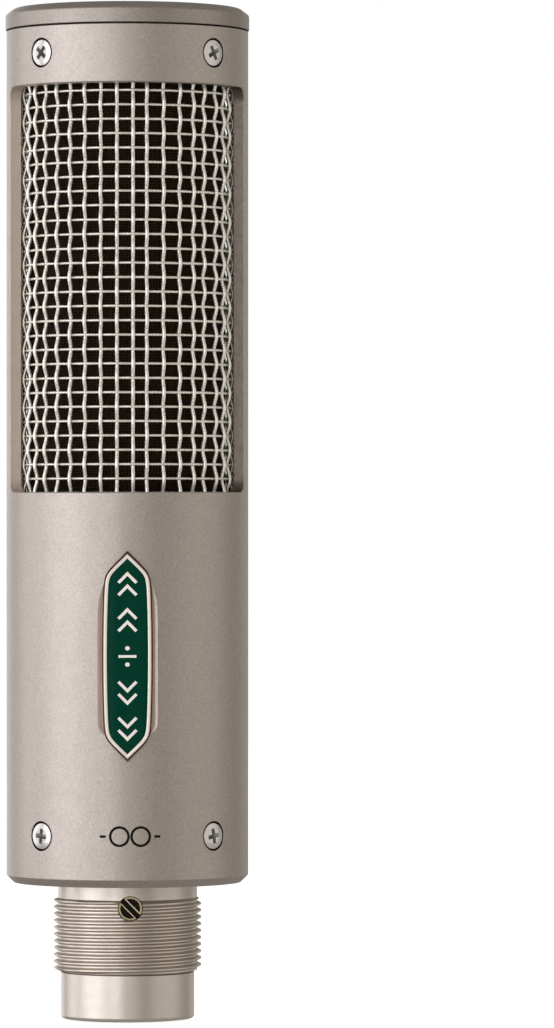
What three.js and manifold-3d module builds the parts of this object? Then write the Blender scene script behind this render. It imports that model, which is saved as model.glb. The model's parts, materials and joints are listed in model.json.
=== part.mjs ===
// Ribbon microphone, in millimetres. The origin is the centre of the connector's mouth, +Z runs up the
// body to the cap, and the badge faces -Y. An angle of 0 is the front and grows towards +X.
import * as THREE from "three";
import { mergeVertices } from "three/addons/utils/BufferGeometryUtils.js";
import Module from "manifold-3d";

const wasm = await Module();
wasm.setup();

// ---- driving dimensions -------------------------------------------------------------------------
const GAP = 0.3; // between faces that rest on each other
const BODY_R = 19;
const BODY_BORE_R = 17.17;
const BODY_BOTTOM_Z = 21.4;
const BODY_TOP_Z = 154.95;
const BODY_CHAMFER = 1.15;
const INNER_R = BODY_BORE_R - GAP; // everything that slides into the tube

const WINDOW_HALF_ANGLE = 75.9;
const WINDOW_BOTTOM_Z = 82.6;
const WINDOW_TOP_Z = 145.9;
const WINDOW_CORNER_R = 2.4;
const WINDOW_CORNER_FROM_R = 10; // inside the bore, where nothing is left to cut

const CAP_R = 19.15;
const CAP_BOTTOM_Z = 155.2;
const CAP_SIDE_TOP_Z = 157.5;
const CAP_TOP_Z = 158.5;
const CAP_TOP_R = 17.8;
const CAP_SKIRT_BOTTOM_Z = 147.6;
const CAP_SKIRT_BORE_R = 12.6;
const CAP_BOSS_R = 9;
const CAP_BOSS_BOTTOM_Z = 149;

const SCREW_ANGLES = [45, 135, 225, 315];
const CAP_SCREW_Z = 150.8;
const BASE_SCREW_Z = 29.2;
const SCREW = { headR: 2, rimR: 2.28, shankR: 1.25, holeR: 1.55, sunk: 0.2, length: 5.4, edge: 0.1 };
const SCREW_SEAT_DEPTH = 0.45;
const SCREW_RECESS = { half: 1.15, halfWidth: 0.28, depth: 0.55 };
const SCREW_TAPPED = { cap: CAP_SKIRT_BORE_R - 1, base: 12.8 }; // how far in each tapped hole starts

const STEM_BORE_R = 8.05;
const BARREL_R = 10.5;
const BARREL_EDGE = 0.7;
const BARREL_EDGE_BOW = BARREL_EDGE * (1 - Math.SQRT1_2); // the middle of the rounded edge
const RELIEF_R = 9.9;
const RELIEF_BOTTOM_Z = 6.9;
const THREAD_BOTTOM_Z = 7.5;
const THREAD_TOP_Z = 19.2;
const THREAD_CREST_R = 11.6;
const THREAD_ROOT_R = 10.8;
const THREAD_RIDGES = 11;
const THREAD_ROOT_FLAT = 0.1;
const PLUG_BOTTOM_Z = BODY_BOTTOM_Z + 0.1;
const PLUG_TOP_Z = 33.5;

const INSERT_BOTTOM_Z = 14.6;
const INSERT_TOP_Z = 22.3;
const PIN_R = 1.18;
const PIN_CIRCLE_R = 3.6;
const PIN_BOTTOM_Z = 3;
const PIN_TOP_Z = 26;
const PIN_NOSE = { r: 0.6, height: 0.8 };
const PIN_ANGLES = [-90, 90, 180];

const LOCK_SCREW = { r: 1.75, holeR: 2.05, innerR: 6, outerR: 10.5, z: 17.75, angle: 2.4, edge: 0.28 };
const LOCK_SLOT = { halfWidth: 0.42, depth: 0.75, turn: -45 };
const LOCK_HOLE_FROM_R = 7;
const LOCK_HOLE_TO_R = 13;

const DECK_BOTTOM_Z = 76.5;
const DECK_TOP_Z = 79;
const POST_ANGLES = [0, 120, 240];
const POST_CIRCLE_R = 14.4;
const POST_R = 2;
const POST_SPIGOT = { r: 1, depth: 2, holeR: 1.3, holeDepth: 2.4 };
const POST_BORE = { r: 1.1, depth: 5 };
const DECK_SCREW = { r: 0.8, headR: 1.6, length: 4, headDepth: 0.7, holeR: 1.15 };
const DECK_SINK = { r: 2, depth: 1, headBelow: 0.05 };
const SCREENS = {
  outer_screen: [15.75, 16.85],
  middle_screen: [14.95, 15.35],
  inner_screen: [14.1, 14.5],
};

const BADGE_BOTTOM_Z = 40.9;
const BADGE_TOP_Z = 73.6;
const BADGE_HALF_WIDTH = 3.85;
const BADGE_POINT = 4.25; // how much of its height each pointed end takes
const BADGE_BEND = { across: 0.72, along: 0.4 }; // where the end curves' control points are
const BADGE_POINT_INSET = 1.6; // how much faster the points draw in than the sides
const BADGE_RIM = 0.88;
const BACKPLATE_R = [19.1, 19.75];
const BACKPLATE = { half: 4.65, low: 46, high: 65.9, topHalf: 3.4, top: 69, bottomHalf: 3.6, bottom: 45 };
const BADGE_R = [19.85, 20.6];
const ENAMEL_R = [20.25, 20.5];
const ENAMEL_GAP = 0.1;
const BADGE_PRISM = { from: 12, depth: 12 }; // from behind the edges, which curve back with the tube

const CAN_R = 11.6;
const CAN_WALL = 0.7;
const CAN_BOTTOM_Z = 37;
const CAN_TOP_Z = 70.6;
const CAN_HOLE_R = 2.5; // for the leads
const LID = { innerR: 3, bottom: PLUG_TOP_Z + 0.7 };
const PAD_R = [8.5, 3];
const CORE = { x: 8.6, y: 4.5, bottom: 40, top: 66, yoke: 4, leg: 2.9, windowX: 6 };
const COIL_STANDS_OUT = 3.5;

const BLOCK = { x: 11.5, y: 6, height: 4 };
const MOTOR_BOTTOM_Z = 83.6;
const MOTOR_TOP_Z = 144.3;
const MAGNET = { inner: 5.6, outer: 10.6, y: 3.2 };
const YOKE = { inner: 10.9, outer: 12.9, y: 4 };
const POLE = { gapX: 2.6, gapY: 1.4, bottom: 93, top: 135 };
const CLAMP = { x: 5.2, slot: 0.45, back: 4, front: 2.4, screwX: 3.7, height: 4.7, holeR: 1.1, holeReach: 3 };
const CLAMP_SCREW = { r: 0.8, headR: 1.4, from: -2.6, under: 2.7, to: 3.5 };
const RIBBON = { halfWidth: 2.2, thickness: 0.12, wave: 0.35, pitch: 2, bottom: 89.6, top: 138.3 };
const ISOLATOR_R = [8.5, 4.5];
const LEAD_R = 0.45;
const LEAD_HOLE = { x: 4, y: -10, r: 1.2 };
const OUTPUT_WIRE = { endR: 1.3, end: CORE.bottom - 1.5, startBend: 30, endBend: 31 };
// Points each lead passes, in front of the motor and then down to the transformer on the +X side.
const LOWER_LEAD = [[0, -3.2, 90.4], [0.8, -6.5, 90], [3, -8.8, 88]];
const UPPER_LEAD = [[0, -3.2, 137.6], [-3.5, -6, 136], [-6.5, -7.4, 131], [-6.5, -7.4, 92]];
const LEAD_DOWN = [
  [LEAD_HOLE.x, LEAD_HOLE.y, 84], [LEAD_HOLE.x, LEAD_HOLE.y, 75],
  [1.6, -5, 72.6], [1.1, -1, 71.4], [1.1, 0, 68],
];
const WIRE_STEPS = { output: 10, lower_lead: 24, upper_lead: 36 };

// ---- materials ----------------------------------------------------------------------------------
const finish = (color, roughness, metalness) =>
  new THREE.MeshStandardMaterial({ color, roughness, metalness });
const SATIN_NICKEL = finish(0xbcb3a9, 0.5, 0.9);
const BRIGHT_NICKEL = finish(0xd8cfc0, 0.25, 1);
const SCREW_STEEL = finish(0xdedcd6, 0.2, 1);
const DARK_MESH = finish(0x2a241f, 0.6, 0.8);
const ENAMEL = finish(0x00402a, 0.2, 0);
const BRASS = finish(0xb08a3e, 0.25, 1);
const BLACK_PLASTIC = finish(0x17171a, 0.5, 0);
const CONTACT = finish(0xd9c27a, 0.25, 1);
const ALUMINIUM = finish(0xb9bbbd, 0.4, 0.9);
const MAGNET_NICKEL = finish(0xa9a9a6, 0.3, 1);
const IRON = finish(0x6d6a66, 0.5, 0.9);
const FOIL = finish(0xe6e6e6, 0.15, 1);
const RUBBER = finish(0x1c1c1c, 0.9, 0);
const COPPER = finish(0xa6582c, 0.35, 0.9);
const CAN_METAL = finish(0x9d9a94, 0.4, 0.95);
const BOARD = finish(0x6b4a2a, 0.6, 0);
const WIRE_RED = finish(0x7d1f1a, 0.6, 0);

// ---- solids -------------------------------------------------------------------------------------
const ROUND = 40;
const TUBE_ROUND = 48;
const MIDDLE_ROUND = 24;
const SMALL_ROUND = 14;
const TINY_ROUND = 12;
const HOLE_ROUND = 20;
const INSERT_ROUND = 32;
const BADGE_ROUND = 96;
const CURVE = { sector: 10, badge: 5, wire: 4, line: 1 }; // segments in each curve of an outline
const WELD = 1e-4;
const OVER = 1; // how far a cutter runs past the face it opens
const radians = THREE.MathUtils.degToRad;

// A closed three.js geometry as a manifold solid, for joining and cutting.
function solid(geometry) {
  const bare = geometry.clone();
  bare.deleteAttribute("normal");
  bare.deleteAttribute("uv");
  const merged = mergeVertices(bare, WELD);
  const index = merged.index.array;
  const kept = [];
  for (let i = 0; i < index.length; i += 3) {
    const [a, b, c] = [index[i], index[i + 1], index[i + 2]];
    if (a !== b && b !== c && a !== c) kept.push(a, b, c);
  }
  const vertProperties = merged.attributes.position.array;
  return new wasm.Manifold(
    new wasm.Mesh({ numProp: 3, vertProperties, triVerts: new Uint32Array(kept) }),
  );
}

function geometryOf(made) {
  const { vertProperties, triVerts } = made.getMesh();
  const geometry = new THREE.BufferGeometry();
  geometry.setAttribute("position", new THREE.BufferAttribute(vertProperties, 3));
  geometry.setIndex(new THREE.BufferAttribute(triVerts, 1));
  geometry.computeVertexNormals();
  return geometry;
}

const cut = (body, ...tools) => tools.reduce((left, tool) => left.subtract(tool), body);

// Turns a profile of [radius, z] points, given anticlockwise, about the Z axis.
function turned(profile, segments = ROUND) {
  const points = profile.map(([r, z]) => new THREE.Vector2(r, z));
  return new THREE.LatheGeometry(points, segments).rotateX(Math.PI / 2);
}

const ring = (outer, inner, bottom, top, segments = ROUND) =>
  turned([[inner, bottom], [outer, bottom], [outer, top], [inner, top], [inner, bottom]], segments);

const rod = (radius, bottom, top, segments = SMALL_ROUND) =>
  turned([[0, bottom], [radius, bottom], [radius, top], [0, top]], segments);

function box(low, high) {
  const [x, y, z] = low.map((value, i) => high[i] - value);
  const middle = low.map((value, i) => (value + high[i]) / 2);
  return new THREE.BoxGeometry(x, y, z).translate(...middle);
}

function outline(points) {
  const shape = new THREE.Shape();
  shape.moveTo(...points[0]);
  points.slice(1).forEach((point) => shape.lineTo(...point));
  shape.closePath();
  return shape;
}

const extruded = (shape, depth, curveSegments = CURVE.line) =>
  new THREE.ExtrudeGeometry(shape, { depth, bevelEnabled: false, curveSegments });

// A sector of a disc, from the axis out, between two angles either side of the front.
function sector(halfAngle, radius, bottom, top) {
  const half = radians(halfAngle);
  const shape = new THREE.Shape();
  shape.moveTo(0, 0);
  shape.absarc(0, 0, radius, -Math.PI / 2 - half, -Math.PI / 2 + half, false);
  shape.closePath();
  return extruded(shape, top - bottom, CURVE.sector).translate(0, 0, bottom);
}

// A geometry made along Z, laid along the radius at an angle: its z becomes the distance from the axis.
const radial = (geometry, angle, z) =>
  geometry.clone().rotateX(Math.PI / 2).translate(0, 0, z).rotateZ(radians(angle));

const at = (radius, angle) => [
  radius * Math.sin(radians(angle)),
  -radius * Math.cos(radians(angle)),
];

// ---- the group ----------------------------------------------------------------------------------
const microphone = new THREE.Group();
microphone.name = "ribbon_microphone";

function add(name, made, material, parent = microphone) {
  const geometry = made.isBufferGeometry ? made : geometryOf(made);
  const mesh = new THREE.Mesh(geometry, material);
  mesh.name = name;
  parent.add(mesh);
  return mesh;
}

// ---- casing -------------------------------------------------------------------------------------
// The recess for one casing screw, from inside the wall out past the surface.
function screwHole(angle, z, depth) {
  const { rimR, holeR } = SCREW;
  const seat = BODY_R - SCREW_SEAT_DEPTH;
  const neck = seat - (rimR - holeR);
  const profile = [
    [0, BODY_R - depth],
    [holeR, BODY_R - depth],
    [holeR, neck],
    [rimR, seat],
    [rimR, BODY_R + OVER],
    [0, BODY_R + OVER],
  ];
  return solid(radial(turned(profile, SMALL_ROUND), angle, z));
}

const screwHoles = (z, depth) => SCREW_ANGLES.map((angle) => screwHole(angle, z, depth));

// One window through the tube, with cheeks cut along the radius and round corners.
function windowCutter() {
  const reach = BODY_R + OVER;
  const corner = WINDOW_CORNER_R;
  const cornerAngle = THREE.MathUtils.radToDeg(corner / BODY_R);
  const narrow = WINDOW_HALF_ANGLE - cornerAngle;
  const low = WINDOW_BOTTOM_Z;
  const high = WINDOW_TOP_Z;
  let made = solid(sector(WINDOW_HALF_ANGLE, reach, low + corner, high - corner));
  made = made.add(solid(sector(narrow, reach, low, high)));
  for (const z of [low + corner, high - corner])
    for (const side of [-1, 1])
      made = made.add(solid(radial(rod(corner, WINDOW_CORNER_FROM_R, reach, HOLE_ROUND), side * narrow, z)));
  return made;
}

function addTube() {
  const wall = [
    [BODY_BORE_R, BODY_BOTTOM_Z],
    [BODY_R - BODY_CHAMFER, BODY_BOTTOM_Z],
    [BODY_R, BODY_BOTTOM_Z + BODY_CHAMFER],
    [BODY_R, BODY_TOP_Z],
    [BODY_BORE_R, BODY_TOP_Z],
    [BODY_BORE_R, BODY_BOTTOM_Z],
  ];
  const window = windowCutter();
  const wallDepth = BODY_R - BODY_BORE_R + OVER;
  const tube = cut(
    solid(turned(wall, TUBE_ROUND)),
    window,
    window.rotate([0, 0, 180]),
    ...screwHoles(BASE_SCREW_Z, wallDepth),
    ...screwHoles(CAP_SCREW_Z, wallDepth),
  );
  add("body_tube", tube, SATIN_NICKEL);
}

function addCap() {
  const profile = [
    [0, CAP_BOSS_BOTTOM_Z],
    [CAP_BOSS_R, CAP_BOSS_BOTTOM_Z],
    [CAP_BOSS_R, CAP_BOTTOM_Z],
    [CAP_SKIRT_BORE_R, CAP_BOTTOM_Z],
    [CAP_SKIRT_BORE_R, CAP_SKIRT_BOTTOM_Z],
    [INNER_R, CAP_SKIRT_BOTTOM_Z],
    [INNER_R, CAP_BOTTOM_Z],
    [CAP_R, CAP_BOTTOM_Z],
    [CAP_R, CAP_SIDE_TOP_Z],
    [CAP_TOP_R, CAP_TOP_Z],
    [0, CAP_TOP_Z],
  ];
  const tapped = SCREW_ANGLES.map((angle) =>
    solid(radial(rod(SCREW.holeR, SCREW_TAPPED.cap, BODY_R), angle, CAP_SCREW_Z)),
  );
  add("top_cap", cut(solid(turned(profile)), ...tapped), SATIN_NICKEL);
}

// The connector shell and the plug that closes the tube are one turning, with a thread on the neck.
function addStem() {
  const step = (THREAD_TOP_Z - THREAD_BOTTOM_Z) / THREAD_RIDGES;
  const thread = [];
  for (let i = 0; i < THREAD_RIDGES; i++) {
    const z = THREAD_BOTTOM_Z + i * step;
    thread.push([THREAD_ROOT_R, z + THREAD_ROOT_FLAT], [THREAD_CREST_R, z + step / 2]);
  }
  const profile = [
    [STEM_BORE_R, 0],
    [BARREL_R - BARREL_EDGE, 0],
    [BARREL_R - BARREL_EDGE_BOW, BARREL_EDGE_BOW],
    [BARREL_R, BARREL_EDGE],
    [BARREL_R, RELIEF_BOTTOM_Z],
    [RELIEF_R, RELIEF_BOTTOM_Z],
    [RELIEF_R, THREAD_BOTTOM_Z],
    ...thread,
    [THREAD_ROOT_R, THREAD_TOP_Z],
    [THREAD_ROOT_R, PLUG_BOTTOM_Z],
    [INNER_R, PLUG_BOTTOM_Z],
    [INNER_R, PLUG_TOP_Z],
    [STEM_BORE_R, PLUG_TOP_Z],
    [STEM_BORE_R, 0],
  ];
  const tapped = SCREW_ANGLES.map((angle) =>
    solid(radial(rod(SCREW.holeR, SCREW_TAPPED.base, BODY_R), angle, BASE_SCREW_Z)),
  );
  const socket = rod(POST_SPIGOT.holeR, PLUG_TOP_Z - POST_SPIGOT.holeDepth, PLUG_TOP_Z + OVER);
  const postHoles = POST_ANGLES.map((angle) =>
    solid(socket.clone().translate(...at(POST_CIRCLE_R, angle), 0)),
  );
  const { holeR, z, angle } = LOCK_SCREW;
  const lockHole = solid(radial(rod(holeR, LOCK_HOLE_FROM_R, LOCK_HOLE_TO_R, HOLE_ROUND), angle, z));
  add("base_stem", cut(solid(turned(profile)), ...tapped, ...postHoles, lockHole), SATIN_NICKEL);
}

// One countersunk casing screw with a cross recess, its head towards +Z at the surface's height.
function casingScrew() {
  const { headR, shankR, sunk, length, edge } = SCREW;
  const top = BODY_R - sunk;
  const profile = [
    [0, top - length],
    [shankR, top - length],
    [shankR, top - edge - (headR - shankR)],
    [headR, top - edge],
    [headR, top],
    [0, top],
  ];
  const { half, halfWidth, depth } = SCREW_RECESS;
  const slot = box([-half, -halfWidth, top - depth], [half, halfWidth, top + OVER]);
  const across = slot.clone().rotateZ(Math.PI / 2);
  return geometryOf(cut(solid(turned(profile, SMALL_ROUND)), solid(slot), solid(across)));
}

function addCasingScrews() {
  const shape = casingScrew();
  for (const [name, z] of [["cap_screw", CAP_SCREW_Z], ["base_screw", BASE_SCREW_Z]])
    SCREW_ANGLES.forEach((angle, i) => {
      const turn = new THREE.Group();
      turn.rotation.z = radians(angle);
      microphone.add(turn);
      const screw = add(`${name}_${i + 1}`, shape, SCREW_STEEL, turn);
      screw.rotation.x = Math.PI / 2;
      screw.position.z = z;
    });
}

// ---- windscreen ---------------------------------------------------------------------------------
function addScreens() {
  for (const [name, [inner, outer]] of Object.entries(SCREENS)) {
    const tube = ring(outer, inner, DECK_TOP_Z + GAP, CAP_SKIRT_BOTTOM_Z - GAP);
    add(name, tube, name === "outer_screen" ? BRIGHT_NICKEL : DARK_MESH);
  }
}

// ---- badge --------------------------------------------------------------------------------------
// A plate with two pointed ends, inset by a margin.
function badgeShape(margin) {
  const half = BADGE_HALF_WIDTH - margin;
  const low = BADGE_BOTTOM_Z + margin * BADGE_POINT_INSET;
  const high = BADGE_TOP_Z - margin * BADGE_POINT_INSET;
  const shoulderLow = BADGE_BOTTOM_Z + BADGE_POINT;
  const shoulderHigh = BADGE_TOP_Z - BADGE_POINT;
  const bendX = half * BADGE_BEND.across;
  const bendLow = low + BADGE_POINT * BADGE_BEND.along;
  const bendHigh = high - BADGE_POINT * BADGE_BEND.along;
  const shape = new THREE.Shape();
  shape.moveTo(0, low);
  shape.quadraticCurveTo(bendX, bendLow, half, shoulderLow);
  shape.lineTo(half, shoulderHigh);
  shape.quadraticCurveTo(bendX, bendHigh, 0, high);
  shape.quadraticCurveTo(-bendX, bendHigh, -half, shoulderHigh);
  shape.lineTo(-half, shoulderLow);
  shape.quadraticCurveTo(-bendX, bendLow, 0, low);
  return shape;
}

// Wraps an outline, drawn in X and Z, on the front of a cylinder shell of [inner, outer] radius.
function wrapped(shape, [inner, outer]) {
  const { from, depth } = BADGE_PRISM;
  const drawn = extruded(shape, depth, CURVE.badge).rotateX(Math.PI / 2).translate(0, -from, 0);
  const shell = ring(outer, inner, BADGE_BOTTOM_Z - OVER, BADGE_TOP_Z + OVER, BADGE_ROUND);
  return solid(shell).intersect(solid(drawn));
}

function addBadge() {
  const { half, low, high, topHalf, top, bottomHalf, bottom } = BACKPLATE;
  const right = [[bottomHalf, bottom], [half, low], [half, high], [topHalf, top]];
  const left = right.map(([x, z]) => [-x, z]).reverse();
  add("badge_backplate", wrapped(outline([...right, ...left]), BACKPLATE_R), BRIGHT_NICKEL);
  const pocket = wrapped(badgeShape(BADGE_RIM), [ENAMEL_R[0] - ENAMEL_GAP, BADGE_R[1] + OVER]);
  add("badge_plate", cut(wrapped(badgeShape(0), BADGE_R), pocket), BRIGHT_NICKEL);
  add("badge_enamel", wrapped(badgeShape(BADGE_RIM + ENAMEL_GAP), ENAMEL_R), ENAMEL);
}

// ---- connector ----------------------------------------------------------------------------------
function addConnector() {
  const pinHole = rod(PIN_R + GAP, INSERT_BOTTOM_Z - OVER, INSERT_TOP_Z + OVER);
  const pinHoles = PIN_ANGLES.map((angle) =>
    solid(pinHole.clone().translate(...at(PIN_CIRCLE_R, angle), 0)),
  );
  const { holeR, innerR, outerR, r, z, angle, edge } = LOCK_SCREW;
  const pocket = solid(radial(rod(holeR, innerR - GAP, LOCK_HOLE_TO_R, HOLE_ROUND), angle, z));
  const insert = solid(rod(STEM_BORE_R - GAP, INSERT_BOTTOM_Z, INSERT_TOP_Z, INSERT_ROUND));
  add("xlr_insert", cut(insert, ...pinHoles, pocket), BLACK_PLASTIC);

  const pin = turned([
    [0, PIN_BOTTOM_Z], [PIN_NOSE.r, PIN_BOTTOM_Z], [PIN_R, PIN_BOTTOM_Z + PIN_NOSE.height],
    [PIN_R, PIN_TOP_Z], [0, PIN_TOP_Z],
  ], TINY_ROUND);
  const { endR, end: endZ, startBend, endBend } = OUTPUT_WIRE;
  PIN_ANGLES.forEach((pinAngle, i) => {
    const mesh = add(`xlr_pin_${i + 1}`, pin, CONTACT);
    mesh.position.set(...at(PIN_CIRCLE_R, pinAngle), 0);
    const start = new THREE.Vector3(...at(PIN_CIRCLE_R, pinAngle), PIN_TOP_Z + GAP);
    const end = new THREE.Vector3(...at(endR, pinAngle), endZ);
    const route = new THREE.CubicBezierCurve3(
      start, start.clone().setZ(startBend), end.clone().setZ(endBend), end,
    );
    add(`output_wire_${i + 1}`, wire(route, WIRE_STEPS.output), WIRE_RED);
  });

  const screwProfile = [
    [0, innerR], [r, innerR], [r, outerR - edge], [r - edge, outerR], [0, outerR],
  ];
  const { halfWidth, depth, turn } = LOCK_SLOT;
  const slot = box([-2 * r, -halfWidth, outerR - depth], [2 * r, halfWidth, outerR + OVER]);
  const screw = cut(solid(turned(screwProfile, HOLE_ROUND)), solid(slot.rotateZ(radians(turn))));
  add("lock_screw", radial(geometryOf(screw), angle, z), BRASS);
}

// A round wire along a curve.
function wire(route, steps, radius = LEAD_R) {
  const section = new THREE.Shape();
  section.absarc(0, 0, radius, 0, Math.PI * 2, false);
  return new THREE.ExtrudeGeometry(section, { steps, extrudePath: route, curveSegments: CURVE.wire });
}

// ---- chassis ------------------------------------------------------------------------------------
function addChassis() {
  const throughDeck = (radius, x, y) =>
    solid(rod(radius, DECK_BOTTOM_Z - OVER, DECK_TOP_Z + OVER).translate(x, y, 0));
  const bores = POST_ANGLES.flatMap((angle) => {
    const [x, y] = at(POST_CIRCLE_R, angle);
    const sink = rod(DECK_SINK.r, DECK_TOP_Z - DECK_SINK.depth, DECK_TOP_Z + OVER).translate(x, y, 0);
    return [throughDeck(DECK_SCREW.holeR, x, y), solid(sink)];
  });
  const { x: leadX, y: leadY, r: leadR } = LEAD_HOLE;
  const leadHoles = [-1, 1].map((side) => throughDeck(leadR, side * leadX, leadY));
  const deck = solid(rod(INNER_R, DECK_BOTTOM_Z, DECK_TOP_Z, ROUND));
  add("deck_plate", cut(deck, ...bores, ...leadHoles), ALUMINIUM);

  const postTop = DECK_BOTTOM_Z - GAP;
  const { r: spigotR, depth: spigotDepth } = POST_SPIGOT;
  const post = cut(
    solid(turned([
      [0, PLUG_TOP_Z - spigotDepth], [spigotR, PLUG_TOP_Z - spigotDepth], [spigotR, PLUG_TOP_Z + GAP],
      [POST_R, PLUG_TOP_Z + GAP], [POST_R, postTop], [0, postTop],
    ], TINY_ROUND)),
    solid(rod(POST_BORE.r, postTop - POST_BORE.depth, postTop + OVER, TINY_ROUND)),
  );
  const { r, headR, length, headDepth } = DECK_SCREW;
  const underHead = DECK_TOP_Z - headDepth;
  const headTop = DECK_TOP_Z - DECK_SINK.headBelow;
  const screw = turned([
    [0, postTop - length], [r, postTop - length], [r, underHead], [headR, underHead],
    [headR, headTop], [0, headTop],
  ], TINY_ROUND);
  const postShape = geometryOf(post);
  POST_ANGLES.forEach((angle, i) => {
    const [x, y] = at(POST_CIRCLE_R, angle);
    add(`post_${i + 1}`, postShape, BRASS).position.set(x, y, 0);
    add(`deck_screw_${i + 1}`, screw, SCREW_STEEL).position.set(x, y, 0);
  });
}

// ---- transformer --------------------------------------------------------------------------------
function addTransformer() {
  const inner = CAN_R - CAN_WALL;
  const can = turned([
    [inner, CAN_BOTTOM_Z], [CAN_R, CAN_BOTTOM_Z], [CAN_R, CAN_TOP_Z], [CAN_HOLE_R, CAN_TOP_Z],
    [CAN_HOLE_R, CAN_TOP_Z - CAN_WALL], [inner, CAN_TOP_Z - CAN_WALL], [inner, CAN_BOTTOM_Z],
  ], MIDDLE_ROUND);
  add("transformer_can", can, CAN_METAL);
  const lid = ring(CAN_R, LID.innerR, LID.bottom, CAN_BOTTOM_Z - GAP, MIDDLE_ROUND);
  add("transformer_lid", lid, CAN_METAL);
  const pad = ring(...PAD_R, CAN_BOTTOM_Z, CORE.bottom - GAP, MIDDLE_ROUND);
  add("transformer_pad", pad, RUBBER);

  const { x, y, bottom, top, yoke, leg, windowX } = CORE;
  const core = cut(
    solid(box([-x, -y, bottom], [x, y, top])),
    solid(box([leg, -y - OVER, bottom + yoke], [windowX, y + OVER, top - yoke])),
    solid(box([-windowX, -y - OVER, bottom + yoke], [-leg, y + OVER, top - yoke])),
  );
  add("transformer_core", core, IRON);
  const coilX = windowX - GAP;
  const coilY = y + COIL_STANDS_OUT;
  const low = bottom + yoke + GAP;
  const high = top - yoke - GAP;
  const coil = cut(
    solid(box([-coilX, -coilY, low], [coilX, coilY, high])),
    solid(box([-leg - GAP, -y - GAP, low - OVER], [leg + GAP, y + GAP, high + OVER])),
  );
  add("transformer_coil", coil, COPPER);
}

// ---- ribbon motor -------------------------------------------------------------------------------
function addMotor() {
  const blockTop = MOTOR_BOTTOM_Z + BLOCK.height;
  const blockBottom = MOTOR_TOP_Z - BLOCK.height;
  const low = blockTop + GAP;
  const high = blockBottom - GAP;
  const { x: bx, y: by } = BLOCK;
  add("motor_base_block", box([-bx, -by, MOTOR_BOTTOM_Z], [bx, by, blockTop]), ALUMINIUM);
  add("motor_top_block", box([-bx, -by, blockBottom], [bx, by, MOTOR_TOP_Z]), ALUMINIUM);

  const { gapX, gapY, bottom, top } = POLE;
  const poleBack = MAGNET.inner - GAP;
  for (const [side, sign] of [["left", -1], ["right", 1]]) {
    const span = (from, to) => (sign > 0 ? [from, to] : [-to, -from]);
    const [m0, m1] = span(MAGNET.inner, MAGNET.outer);
    const [y0, y1] = span(YOKE.inner, YOKE.outer);
    add(`magnet_${side}`, box([m0, -MAGNET.y, low], [m1, MAGNET.y, high]), MAGNET_NICKEL);
    add(`yoke_${side}`, box([y0, -YOKE.y, low], [y1, YOKE.y, high]), IRON);
    const section = outline([
      [sign * gapX, -gapY], [sign * poleBack, -MAGNET.y], [sign * poleBack, MAGNET.y], [sign * gapX, gapY],
    ]);
    add(`pole_${side}`, extruded(section, top - bottom).translate(0, 0, bottom), IRON);
  }
  addClamp("lower", low, low + CLAMP.height);
  addClamp("upper", high - CLAMP.height, high);
}

// A clamp block behind the ribbon's end, a bar in front of it, and the two screws through both.
function addClamp(name, bottom, top) {
  const { x, slot, back, front, screwX, holeR, holeReach } = CLAMP;
  const middle = (bottom + top) / 2;
  const hole = rod(holeR, -holeReach, holeReach, TINY_ROUND).rotateX(Math.PI / 2);
  const holes = [-1, 1].map((side) => solid(hole.clone().translate(side * screwX, 0, middle)));
  const block = cut(solid(box([-x, slot, bottom], [x, back, top])), ...holes);
  add(`${name}_clamp_block`, block, BOARD);
  const bar = cut(solid(box([-x, -front, bottom], [x, -slot, top])), ...holes);
  add(`${name}_clamp_bar`, bar, BRASS);
  const { r, headR, from, under, to } = CLAMP_SCREW;
  const screw = turned([[0, from], [r, from], [r, under], [headR, under], [headR, to], [0, to]], TINY_ROUND);
  [-1, 1].forEach((side, i) => {
    const number = (name === "lower" ? 1 : 3) + i;
    const mesh = add(`clamp_screw_${number}`, screw, SCREW_STEEL);
    mesh.rotation.x = Math.PI / 2;
    mesh.position.set(side * screwX, 0, middle);
  });
}

// A corrugated strip of foil with flat ends, drawn in Y and Z and given its width along X.
function addRibbon() {
  const { halfWidth, thickness, wave, pitch, bottom, top } = RIBBON;
  const waves = Math.floor((POLE.top - POLE.bottom) / pitch);
  const line = [[0, bottom]];
  for (let i = 0; i <= waves * 2; i++) {
    const side = i === 0 || i === waves * 2 ? 0 : i % 2 ? 1 : -1;
    line.push([side * wave, POLE.bottom + (i * pitch) / 2]);
  }
  line.push([0, top]);
  const half = thickness / 2;
  const face = line.map(([y, z]) => [y + half, z]);
  const back = line.map(([y, z]) => [y - half, z]).reverse();
  // The section is drawn as (z, y) and the extrusion's axis is laid along X.
  const section = outline([...back, ...face].map(([y, z]) => [z, y]));
  const strip = extruded(section, 2 * halfWidth).translate(0, 0, -halfWidth).rotateY(-Math.PI / 2);
  add("ribbon", strip, FOIL);
}

function addIsolators() {
  const isolator = (bottom, top) => ring(...ISOLATOR_R, bottom + GAP, top - GAP, MIDDLE_ROUND);
  add("lower_isolator", isolator(DECK_TOP_Z, MOTOR_BOTTOM_Z), RUBBER);
  add("upper_isolator", isolator(MOTOR_TOP_Z, CAP_BOSS_BOTTOM_Z), RUBBER);
}

// The two leads run from the clamp bars down in front of the motor and through the deck to the transformer.
function addLeads() {
  const mirrored = LEAD_DOWN.map(([x, y, z]) => [-x, y, z]);
  const routes = { lower_lead: [...LOWER_LEAD, ...LEAD_DOWN], upper_lead: [...UPPER_LEAD, ...mirrored] };
  for (const [name, points] of Object.entries(routes)) {
    const curve = new THREE.CatmullRomCurve3(points.map((point) => new THREE.Vector3(...point)));
    curve.curveType = "centripetal";
    add(name, wire(curve, WIRE_STEPS[name]), WIRE_RED);
  }
}

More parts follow.
